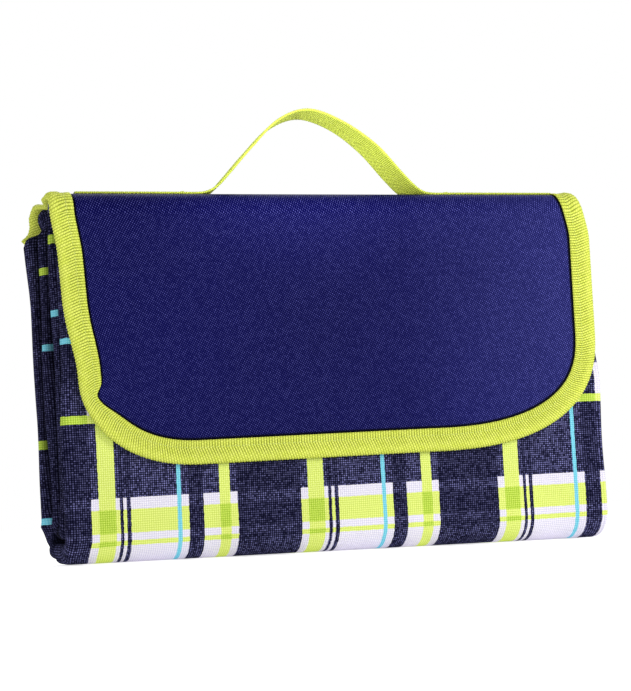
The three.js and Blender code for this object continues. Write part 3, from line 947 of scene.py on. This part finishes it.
def end_route(pack_side, y, creep, low, high):
    """A pack's last stretch, up to its cut end."""
    heights = np.linspace(low, high, 7)
    flat = np.zeros(7)
    shift = creep_at(flat + y, heights, y, creep, y + 1, creep)
    return np.column_stack([flat + y, heights, flat + pack_side, flat, shift])


def end_uv(stations, route):
    return lengths_along(stations[:, :2]) * MM, route[:, 1] * MM


whole = pack_stations(MAT_WIDTH / 2, END_STEP)
for name, ends in (
    ("front", end_route(-1, FRONT_PACK, CREEP_FRONT, FRONT_END, FRONT_PACK_TOP)),
    ("inner", end_route(1, -PACK_PITCH / 2, CREEP_INNER, INNER_END, INNER_PACK_TOP)),
):
    piece_name = f"mat_end_tape_{name}_cloth"
    tape = sweep_band(piece_name, whole, -LAYER / 2, LAYER / 2, ends, TAPE, end_uv)
    settle(tape, "mat", "mat_tape", f"mat_end_tape_{name}")


# ---- the cover -----------------------------------------------------------------------


def corner_curve(corner, side_x, steps):
    """A flap corner from the side's end to the lower edge, as (x, z)."""
    x, z, exponent = corner
    angle = np.linspace(0, math.pi / 2, steps + 1)
    across = x + (side_x - x) * np.cos(angle) ** (2 / exponent)
    down = FLAP_SIDE_END + (z - FLAP_SIDE_END) * np.sin(angle) ** (2 / exponent)
    return np.stack([across, down], 1)


def resample(points, count):
    """count points at equal distances along a run of points of any width."""
    points = np.asarray(points, float)
    s = lengths_along(points[:, :3])
    at = np.linspace(0, s[-1], count)
    return np.stack([np.interp(at, s, points[:, c]) for c in range(points.shape[1])], 1)


def cover_skew(y):
    """How far the cover stands to the left at a depth."""
    return COVER_SKEW * (y - COVER_FRONT)


CORNER_STEPS = 60
left_side = [[COVER_LEFT, FLAP_TOP], [FLAP_LEFT_LOW, FLAP_SIDE_END]]
left_corner = corner_curve(LEFT_CORNER, FLAP_LEFT_LOW, CORNER_STEPS)
right_corner = corner_curve(RIGHT_CORNER, COVER_RIGHT, CORNER_STEPS)
right_end = [[COVER_RIGHT, FLAP_TOP]]
FLAP_EDGE = np.concatenate([left_side, left_corner[1:], right_corner[::-1], right_end])


def flap_edge(inset):
    """The flap's edge moved inward by inset."""
    t = np.gradient(FLAP_EDGE, axis=0)
    t[0], t[-1] = FLAP_EDGE[1] - FLAP_EDGE[0], FLAP_EDGE[-1] - FLAP_EDGE[-2]
    t = unit(t)
    return FLAP_EDGE + np.stack([-t[:, 1], t[:, 0]], 1) * inset


def flap_grid(rows, columns, inset):
    """(x, z) of a grid over the flap, from its top line down, by a Coons patch."""
    edge = flap_edge(inset)
    edge[0, 1] = edge[-1, 1] = FLAP_TOP
    # The grid's lower corners lie in the middle of the flap's.
    half = CORNER_STEPS // 2
    split = [half + 2, len(edge) - half - 3]
    left = resample(edge[: split[0] + 1], rows)
    bottom = resample(edge[split[0] : split[1] + 1], columns)
    right = resample(edge[split[1] :][::-1], rows)
    top_line = np.linspace(edge[0], edge[-1], columns)
    p = np.linspace(0, 1, columns)[None, :, None]
    q = np.linspace(0, 1, rows)[:, None, None]
    grid = (1 - q) * top_line[None] + q * bottom[None] + (1 - p) * left[:, None] + p * right[:, None]
    grid -= (1 - q) * (1 - p) * edge[0] + (1 - q) * p * edge[-1]
    grid -= q * (1 - p) * bottom[0] + q * p * bottom[-1]
    return grid


def cover_profile(step):
    """Stations (y, z, ny, nz) of the cover from the back panel's foot to the flap's top."""
    stations = [
        arc(COVER_FRONT + FRONT_BEND, COVER_ROOF - FRONT_BEND, FRONT_BEND, 180, 90, 10),
        arc(COVER_BACK - BACK_BEND, COVER_ROOF - BACK_BEND, BACK_BEND, 90, 0, 8),
        [[COVER_BACK, COVER_BACK_BOTTOM, 1, 0]],
    ]
    return refine(np.concatenate(stations), step)[::-1]


def cover_grid(rows, columns, inset, step):
    """Base points, normals and sheet coordinates of the whole cover panel."""
    profile = cover_profile(step)
    foot = np.clip(profile[:, 1], COVER_BACK_BOTTOM + inset, None)
    on_back = profile[:, 0] > COVER_BACK - 0.01
    z = np.where(on_back, foot, profile[:, 1])
    skew = cover_skew(profile[:, 0])
    p = np.linspace(0, 1, columns)[None, :]
    x = (COVER_LEFT + inset - skew)[:, None] * (1 - p) + (COVER_RIGHT - inset - skew)[:, None] * p
    roof = np.stack(np.broadcast_arrays(x, profile[:, 0][:, None], z[:, None]), 2)
    # The back panel's lower corners are cut round.
    centre_z = COVER_BACK_BOTTOM + BACK_CORNER
    for edge, direction in ((COVER_LEFT, 1), (COVER_RIGHT, -1)):
        centre = np.array([edge - cover_skew(COVER_BACK) + direction * BACK_CORNER, centre_z])
        away = roof[..., ::2] - centre
        far = np.linalg.norm(away, axis=2)
        outside = on_back[:, None] & (away[..., 0] * direction < 0) & (away[..., 1] < 0)
        outside &= far > BACK_CORNER - inset
        pulled = centre + away * ((BACK_CORNER - inset) / np.maximum(far, 1))[..., None]
        roof[..., ::2] = np.where(outside[..., None], pulled, roof[..., ::2])
    roof_normal = np.zeros_like(roof)
    roof_normal[..., 1:] = profile[:, None, 2:4]
    flap = flap_grid(rows, columns, inset)
    front = np.stack([flap[..., 0], np.full(flap.shape[:2], float(COVER_FRONT)), flap[..., 1]], 2)
    front_normal = np.broadcast_to([0.0, -1.0, 0.0], front.shape)
    along = lengths_along(profile[:, :2])
    v_roof = np.broadcast_to(along[:, None], x.shape)
    v_flap = along[-1] + (FLAP_TOP - flap[..., 1])
    uv = np.stack([np.concatenate([x, flap[..., 0]]), np.concatenate([v_roof, v_flap])], 2) * MM
    return np.concatenate([roof, front]), np.concatenate([roof_normal, front_normal]), uv


def edge_distance(base):
    """How far each point of the cover lies in from its bound edge."""
    x, y, z = base[..., 0], base[..., 1], base[..., 2]
    skew = cover_skew(y)
    sides = np.minimum(x - (COVER_LEFT - skew), COVER_RIGHT - skew - x)
    away = np.minimum(sides, np.where(y > COVER_BACK - 1, z - COVER_BACK_BOTTOM, 99))
    on_flap = (y < COVER_FRONT + 0.5) & (z < FLAP_TOP)
    points = np.stack([x[on_flap], z[on_flap]], 1)
    edge = resample(FLAP_EDGE, 400)
    near = np.empty(len(points))
    # A block of points at a time keeps the distances small in memory.
    for i in range(0, len(points), 2000):
        gap = points[i : i + 2000, None, :] - edge[None]
        near[i : i + 2000] = np.sqrt((gap**2).sum(2).min(1))
    away[on_flap] = near
    return away


def cover_puff(base):
    """How far the padding pushes the outer cloth out."""
    x, y, z = base[..., 0], base[..., 1], base[..., 2]
    away = edge_distance(base)
    crown = 1.1 * soft_step((away - 15) / 26)
    wave = 0.32 * np.sin(x / 47 + z / 71) + 0.22 * np.sin(x / 23 - z / 31 + 2)
    puff = crown + wave * soft_step((away - 14) / 30)
    roof = soft_step((z - 222) / 14) * soft_step((26 - y) / 8)
    return puff * (1 - roof)


def cover_soft(p):
    """Points of the cover, moved to where the sewn cloth lies, all in millimetres."""
    x, y, z = p[:, 0], p[:, 1], p[:, 2]
    d = np.zeros_like(p)
    # The flap's left edge stands out toward the top, and is drawn in low down.
    left = soft_step((-125 - x) / 45)
    front = soft_step((6 - y) / 22)
    d[:, 0] -= left * front * (1.8 * soft_step((z - 138) / 34) + 2.6 * soft_step((z - 200) / 34))
    low = left * front * np.exp(-(((z - 128) / 17) ** 2))
    d[:, 0] += 3.4 * low
    # The top right corner slants in.
    d[:, 0] -= 5.0 * soft_step((x - 110) / 60) * soft_step((z - 210) / 32)
    # The roof's left edge has a notch.
    edge = soft_step((-168 - x) / 18) * soft_step((z - 236) / 5)
    notch = edge * np.exp(-(((y - 2) / 9) ** 2))
    d[:, 0] += 2.2 * notch
    d[:, 2] -= 2.6 * notch
    # The rear left corner hangs in folds, and its end flares out.
    rear = soft_step((-160 - x) / 22) * soft_step((y - 8) / 18)
    hang = rear * soft_step((244 - z) / 10)
    d[:, 0] += hang * (0.8 * np.sin(z / 4.6 + 0.8) + 0.4 * np.sin(z / 2.4) - 1.5)
    d[:, 1] += hang * (1.0 * np.sin(z / 5.4 + x / 5) + 0.5 * np.sin(z / 3.1 - x / 4))
    d[:, 0] -= rear * 3.4 * np.exp(-(((z - 221.5) / 2.6) ** 2))
    flat = soft_step((-172 - x) / 10) * soft_step((z - 236) / 5) * soft_step((26 - y) / 8)
    d[:, 2] -= 0.42 * flat * soft_step((y + 26) / 10) * (z - COVER_ROOF)
    return p + d


def shell(name, base, normal, uv, inner, outer, material):
    """A closed ply between two offsets from a grid of base points."""
    sides = [base + normal * np.asarray(offset)[..., None] for offset in (outer, inner)]
    points = cover_soft(np.concatenate(sides).reshape(-1, 3))
    uvs = np.concatenate([uv.reshape(-1, 2)] * 2)
    return face_out(make(name, points, sheet_faces(*base.shape[:2]), material, uvs))


def cover_piece(piece, slot_name, *nodes):
    """The piece stands for nodes of the cover. The slot name is not used."""
    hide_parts(*nodes)
    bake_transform(piece)


cover_base, normal, uv = cover_grid(58, 126, PLY_EDGE, 2.5)
puff = cover_puff(cover_base)
cover_cloth = shell("cover_cloth", cover_base, normal, uv, 3.1 + puff, 3.8 + puff, COVER)
cover_piece(cover_cloth, "cover_cloth", "cover_back_outer", "flap_outer")
base, normal, uv = cover_grid(30, 60, PLY_EDGE, 4.0)
puff = cover_puff(base)
cover_pad = shell("cover_padding", base, normal, uv, 1.7, 2.9 + puff, FOAM_CELLS)
cover_piece(cover_pad, "cover_foam", "cover_back_pad", "flap_pad")
cover_lining = shell("cover_lining_cloth", base, normal, uv, 0.9, 1.4, LINING)
cover_piece(cover_lining, "cover_lining", "cover_back_lining", "flap_lining")


# ---- the binding ---------------------------------------------------------------------

KINK_HEIGHT = 104.5


def binding_path(step):
    """Rows of edge point, inward direction and normal round the whole cover, and its length."""
    rows = []

    def add(points, inward, normals):
        points = np.asarray(points, float)
        inward = np.broadcast_to(np.asarray(inward, float), points.shape)
        normals = np.broadcast_to(np.asarray(normals, float), points.shape)
        rows.append(np.concatenate([points, inward, normals], 1))

    profile = cover_profile(1.5)
    up = profile[:, 1] > COVER_BACK_BOTTOM + BACK_CORNER
    up |= profile[:, 0] < COVER_BACK - 0.01
    profile = profile[up]
    flat = np.zeros(len(profile))
    normals = np.column_stack([flat, profile[:, 2:4]])

    def side_points(edge):
        return np.column_stack([edge - cover_skew(profile[:, 0]), profile[:, :2]])

    add(side_points(COVER_LEFT), [1, 0, 0], normals)
    e = resample(FLAP_EDGE, 500)[1:-1]
    t = tangents(e)
    flat = np.zeros(len(e))
    inward = np.stack([-t[:, 1], flat, t[:, 0]], 1)
    add(np.stack([e[:, 0], flat + COVER_FRONT, e[:, 1]], 1), inward, [0, -1, 0])
    add(side_points(COVER_RIGHT)[::-1], [-1, 0, 0], normals[::-1])
    for edge, direction in ((COVER_RIGHT, -1), (COVER_LEFT, 1)):
        cx = edge - cover_skew(COVER_BACK) + direction * BACK_CORNER
        angle = np.linspace(0, math.pi / 2, 14)[::-direction]
        out = np.stack([-direction * np.cos(angle), 0 * angle, -np.sin(angle)], 1)
        corner = np.array([cx, COVER_BACK, COVER_BACK_BOTTOM + BACK_CORNER])
        add(corner + out * BACK_CORNER, -out, [0, 1, 0])
    path = np.concatenate(rows)
    path = np.concatenate([path, path[:1]])
    length = lengths_along(path[:, :3])[-1]
    count = int(round(length / RIB)) * int(round(RIB / step))
    return resample(path, count + 1)[:-1], length


def binding_profile():
    """Rows of (distance in, offset) round the folded tape, outer face first."""
    wing = np.array([
        (BINDING_WIDTH, 4.5), (13.6, 4.6), (12.0, 4.35), (11.0, 4.3), (10.0, 4.45), (8.0, 4.95),
        (6.0, 5.2), (4.0, 5.1), (2.4, 4.7), (1.1, 3.9), (0.5, 2.6),
    ])
    under = wing[::-1][1:] * [1, -1] + [0, 4.9]
    middle = np.concatenate([wing, under])
    middle[:, 1] = np.where(middle[:, 1] < 0.4, 0.4 + 0.3 * (middle[:, 1] - 0.4), middle[:, 1])
    t = tangents(middle)
    return middle, np.stack([t[:, 1], -t[:, 0]], 1)


BINDING_STEP = 0.31
binding_rows, BINDING_LENGTH = binding_path(BINDING_STEP)


def pinch(rows):
    """The binding's width, as a share, where it is drawn in round the left corner."""
    on_left = (rows[:, 0] < -150) & (np.abs(rows[:, 1] - COVER_FRONT) < 1)
    at = np.argmin(np.abs(rows[:, 2] - KINK_HEIGHT) + 999 * ~on_left)
    s = (np.arange(len(rows)) - at) * BINDING_LENGTH / len(rows)
    reach = np.where(s < 0, 5.5, 16)
    return 1 - 0.3 * np.exp(-((s / reach) ** 2)) - 0.1 * np.exp(-(((s + 6) / 24) ** 2))


binding_share = pinch(binding_rows)


def build_binding():
    middle, out = binding_profile()
    stations, count = len(binding_rows), len(middle)
    s = np.arange(stations) * BINDING_LENGTH / stations
    across = lengths_along(middle)
    phase = (s[:, None] + RIB_SLANT * np.maximum(across - RIB_STRAIGHT, 0)[None, :]) / RIB
    rib = np.abs(np.sin(math.pi * phase)) ** 0.7
    bumps = 0.5 + 0.5 * np.sin(across[None, :] * TAU / 1.9 + np.floor(phase) * math.pi)
    outer_half = soft_step((11 - middle[:, 0]) / 3)[None, :]
    lift = 0.26 + 0.42 * (rib - 0.6) + 0.14 * (bumps - 0.5) * outer_half * rib
    places = middle[None] + out[None] * lift[..., None]
    back = np.broadcast_to(middle[None] - out[None] * 0.28, places.shape)
    ring = np.concatenate([places, back[:, ::-1]], 1)
    edge, inward, normal = (binding_rows[:, None, k : k + 3] for k in (0, 3, 6))
    ring[..., 0] *= binding_share[:, None]
    points = edge + inward * ring[..., :1] + normal * ring[..., 1:]
    uv = grid_uv(s, np.concatenate([across, across[::-1]]))
    faces = tube_faces(stations, 2 * count, closed_path=True)
    return face_out(make("cover_binding", cover_soft(points.reshape(-1, 3)), faces, BINDING_LIME, uv))


binding = build_binding()


def shade_under_binding():
    """Marks each point of the cloth with how far it lies in from the bound edge, which sets the painted
    shade there.
    """
    points = cover_base.reshape(-1, 3)
    away = edge_distance(cover_base).ravel()
    near_edge = np.flatnonzero(away < 22)
    for i in range(0, len(near_edge), 1000):
        some = near_edge[i : i + 1000]
        gap = points[some][:, None] - binding_rows[None, ::4, :3]
        nearest = np.argmin((gap**2).sum(2), axis=1) * 4
        away[some] /= binding_share[nearest]
    mark_points(cover_cloth, "edge_gap", np.tile(away * MM, 2))


shade_under_binding()
cover_piece(
    binding,
    "binding_tape",
    "flap_binding",
    "cover_back_binding_left",
    "cover_back_binding_right",
    "cover_back_binding_bottom",
)


THREAD_SIDES = 6


def thread_tube(centre, up, width, height, sink):
    """Points and faces of a thread with the half width and height, moved up by sink."""
    across = np.cross(tangents(centre), up)
    ring = [
        centre + across * (math.cos(a) * width) + up * (math.sin(a) * height + sink)
        for a in np.linspace(0, TAU, THREAD_SIDES, endpoint=False)
    ]
    size = (len(centre), THREAD_SIDES)
    return np.stack(ring, 1).reshape(-1, 3), tube_faces(*size) + flat_ends(*size)


STITCH_LENGTH = 2.6
STITCH_RADIUS = 0.3
# A stitch's thickness from end to end, as shares of its length and of its radius.
STITCH_SHAPE = np.array([(0, 0.25), (0.15, 0.8), (0.5, 1.0), (0.85, 0.8), (1, 0.25)])


def stitches(name, places, ups, gap):
    """Thread stitches along a run of places, each a small sunk lens with its ends down."""
    s = lengths_along(places)
    points, uvs, faces = [], [], []
    thick = STITCH_RADIUS * STITCH_SHAPE[:, 1:]
    for start in np.arange(0.5, s[-1] - STITCH_LENGTH, STITCH_LENGTH + gap):
        at = start + STITCH_SHAPE[:, 0] * STITCH_LENGTH
        centre, up = (np.stack([np.interp(at, s, p[:, k]) for k in range(3)], 1) for p in (places, ups))
        sink = 0.5 * (thick - STITCH_RADIUS)
        block, block_faces = thread_tube(centre, up, thick, 0.8 * thick, sink)
        faces += [tuple(len(block) * len(points) + k for k in face) for face in block_faces]
        points.append(block)
        uvs.append(grid_uv(at, np.arange(THREAD_SIDES) * STITCH_RADIUS))
    return make(name, np.concatenate(points), faces, THREAD, np.concatenate(uvs))


SEAM_INSET = 11.2
SEAM_HEIGHT = 4.72
seam = cover_soft(
    binding_rows[:, :3]
    + binding_rows[:, 3:6] * (SEAM_INSET * binding_share[:, None])
    + binding_rows[:, 6:9] * SEAM_HEIGHT
)
outer_stitch = stitches("binding_stitches", seam, binding_rows[:, 6:9], 0.9)
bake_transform(outer_stitch)


# ---- the carry handle ----------------------------------------------------------------


def catmull(points, steps):
    """A smooth curve through the points, with a number of steps between each two."""
    points = np.asarray(points, float)
    padded = np.concatenate([points[:1], points, points[-1:]])
    t = np.linspace(0, 1, steps, endpoint=False)[:, None]
    out = []
    for p0, p1, p2, p3 in zip(padded, padded[1:], padded[2:], padded[3:]):
        square = (2 * p0 - 5 * p1 + 4 * p2 - p3) * t**2
        cube = (3 * p1 - p0 - 3 * p2 + p3) * t**3
        out.append(0.5 * (2 * p1 + (p2 - p0) * t + square + cube))
    return np.concatenate([*out, points[-1:]])


HANDLE_POINTS = [
    (RUN_LEFT, RUN_HEIGHT), (-140, RUN_HEIGHT), (-108, RUN_HEIGHT), (-91.8, RUN_HEIGHT),
    (-84.4, RUN_HEIGHT + 1.2), (-77.2, RUN_HEIGHT + 5.4), (-67.8, PIVOT_HEIGHT), (-52.5, 278),
    (-33, 297), (-11.5, 304.6), (12, 297), (34.6, 280.8), (52.4, PIVOT_HEIGHT),
    (61.4, RUN_HEIGHT + 6), (68.4, RUN_HEIGHT + 1.4), (76.4, RUN_HEIGHT), (92, RUN_HEIGHT),
    (128, RUN_HEIGHT), (RUN_RIGHT, RUN_HEIGHT),
]
WEAVE_PITCH = 1.3


def build_handle():
    line = catmull(HANDLE_POINTS, 24)
    length = lengths_along(line)[-1]
    count = int(length / 0.55)
    path = resample(line, count)
    t = tangents(path)
    up = np.stack([-t[:, 1], t[:, 0]], 1)
    s = np.linspace(0, length, count)
    edge = WEBBING_WIDTH / 2
    across = np.concatenate([[-1.0, -0.985], np.linspace(-0.95, 0.95, 25), [0.985, 1.0]]) * edge
    thin = np.where(np.abs(across) > 0.97 * edge, 0.45, 1.0)
    thin[0] = thin[-1] = 0.25
    weave = np.sin(TAU * (s[:, None] / 2.4 + across[None, :] / 3.4))
    fine = np.abs(np.sin(math.pi * s / WEAVE_PITCH))[:, None] ** 0.7
    relief = 0.07 * weave + 0.07 * (fine - 0.6)
    half = (WEBBING / 2 - 0.06) * thin[None, :] + relief * thin[None, :]
    scallop = 1 + 0.010 * np.sin(TAU * s / WEAVE_PITCH)[:, None]
    y = HANDLE_BACK - edge + across[None, :] * scallop
    # The right leg is turned a little to face the front.
    turned = soft_step((path[:, 0] - 5) / 40) * soft_step((90 - path[:, 0]) / 34)
    lean = 0.13 * turned[:, None] * across[None, :] * t[:, 1:2]
    top_side, low_side = (
        np.stack([path[:, :1] + up[:, :1] * lift, y, path[:, 1:] + up[:, 1:] * lift], 2)
        for lift in (lean + half, lean - half)
    )
    ring = np.concatenate([top_side, low_side[:, ::-1]], 1)
    uv = grid_uv(s, np.concatenate([across, across[::-1]]))
    near = len(across)
    faces = tube_faces(count, 2 * near) + end_caps(count, near)
    return face_out(make("handle_strap", ring.reshape(-1, 3), faces, WEBBING_LIME, uv))


handle = build_handle()
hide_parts("handle_run_left", "handle_run_right", "handle_loop")
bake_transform(handle)


def run_stitches(name, x0, x1):
    """Two rows along the strap and a cross row at each end, on its upper face."""
    height = RUN_HEIGHT + WEBBING / 2 + 0.12
    front, back = HANDLE_BACK - WEBBING_WIDTH + 2.5, HANDLE_BACK - 2.5
    corners = [(x0, front), (x1, front), (x1, back), (x0, back), (x0, front)]
    line = []
    for (xa, ya), (xb, yb) in zip(corners[:-1], corners[1:]):
        steps = max(2, int(math.hypot(xb - xa, yb - ya)))
        for k in range(steps):
            line.append((xa + (xb - xa) * k / steps, ya + (yb - ya) * k / steps, height))
    line = np.array(line)
    ups = np.broadcast_to([0.0, 0.0, 1.0], line.shape)
    settle(stitches(name, line, ups, 0.8), "mat", "thread")


run_stitches("handle_stitches_left", RUN_LEFT + 3, -106)
run_stitches("handle_stitches_right", 91, RUN_RIGHT - 3)


def bar_tack(name, x, node):
    """A dense zigzag of thread across the strap."""
    turns, radius = 22, 0.33
    steps = turns * 6 + 1
    y = np.linspace(HANDLE_BACK - WEBBING_WIDTH + 2, HANDLE_BACK - 2, steps)
    centre = np.stack([x + 1.3 * np.sin(np.linspace(0, turns * TAU, steps)), y, 0 * y], 1)
    centre[:, 2] = RUN_HEIGHT + WEBBING / 2 + 0.3
    points, faces = thread_tube(centre, np.array([0.0, 0.0, 1.0]), radius, radius, 0)
    uv = grid_uv(lengths_along(centre), np.arange(THREAD_SIDES) * radius)
    settle(face_out(make(name, points, faces, THREAD, uv)), "mat", "thread", node)


bar_tack("bar_tack_thread_left", -102, "bar_tack_left")
bar_tack("bar_tack_thread_right", 87, "bar_tack_right")


# ---- touch-and-close tabs ------------------------------------------------------------

TAB_HALF_WIDTH, TAB_HALF_HEIGHT = 40, 10
TAB_MIDDLE = 98
TAB_PLACE = 84


def touch_tab(name, node, x, y_back, y_front, body, rough, material):
    """A sewn patch with a rough face towards y_front."""
    rows, columns = 26, 90
    gx, gz = np.meshgrid(
        np.linspace(-TAB_HALF_WIDTH, TAB_HALF_WIDTH, columns),
        np.linspace(-TAB_HALF_HEIGHT, TAB_HALF_HEIGHT, rows),
    )
    fuzz = np.random.default_rng(7).random(gx.shape) * rough
    rim = np.minimum(TAB_HALF_WIDTH - np.abs(gx), TAB_HALF_HEIGHT - np.abs(gz))
    fuzz *= np.clip(rim / 1.5, 0, 1)
    depth = abs(y_front - y_back)
    sign = 1 if y_front > y_back else -1
    y = y_back + sign * (depth * np.clip(0.5 + rim / 1.6, 0, 1) * 0.8 + fuzz)
    sides = [np.stack([gx + x, depth_at, gz + TAB_MIDDLE], 2) for depth_at in (y, 0 * gx + y_back)]
    uv = np.concatenate([(np.stack([gx, gz], 2) * MM).reshape(-1, 2)] * 2)
    points = np.concatenate(sides).reshape(-1, 3)
    piece = face_out(make(name, points, sheet_faces(rows, columns), material, uv))
    settle(piece, body, "touch_tape", node)


for side_name, x in (("left", -TAB_PLACE), ("right", TAB_PLACE)):
    for kind, back, face, body, rough, material in (
        ("loop", -29.2, -30.0, "mat", 0.25, LOOP_PILE),
        ("hook", -31.1, -30.3, "flap", 0.2, HOOK_RIBS),
    ):
        names = (f"{kind}_tab_{side_name}", f"{kind}_strip_{side_name}")
        touch_tab(*names, x, back, face, body, rough, material)


# ---- floor ---------------------------------------------------------------------------

REACH = 6.0
corners = [(-REACH, -REACH, 0), (REACH, -REACH, 0), (REACH, REACH, 0), (-REACH, REACH, 0)]
floor_mesh = bpy.data.meshes.new("floor")
floor_mesh.from_pydata(corners, [], [(0, 1, 2, 3)])
floor_mesh.materials.append(backdrop_material())
floor = bpy.data.objects.new("floor", floor_mesh)
bpy.context.collection.objects.link(floor)
floor.location.z = -0.0006
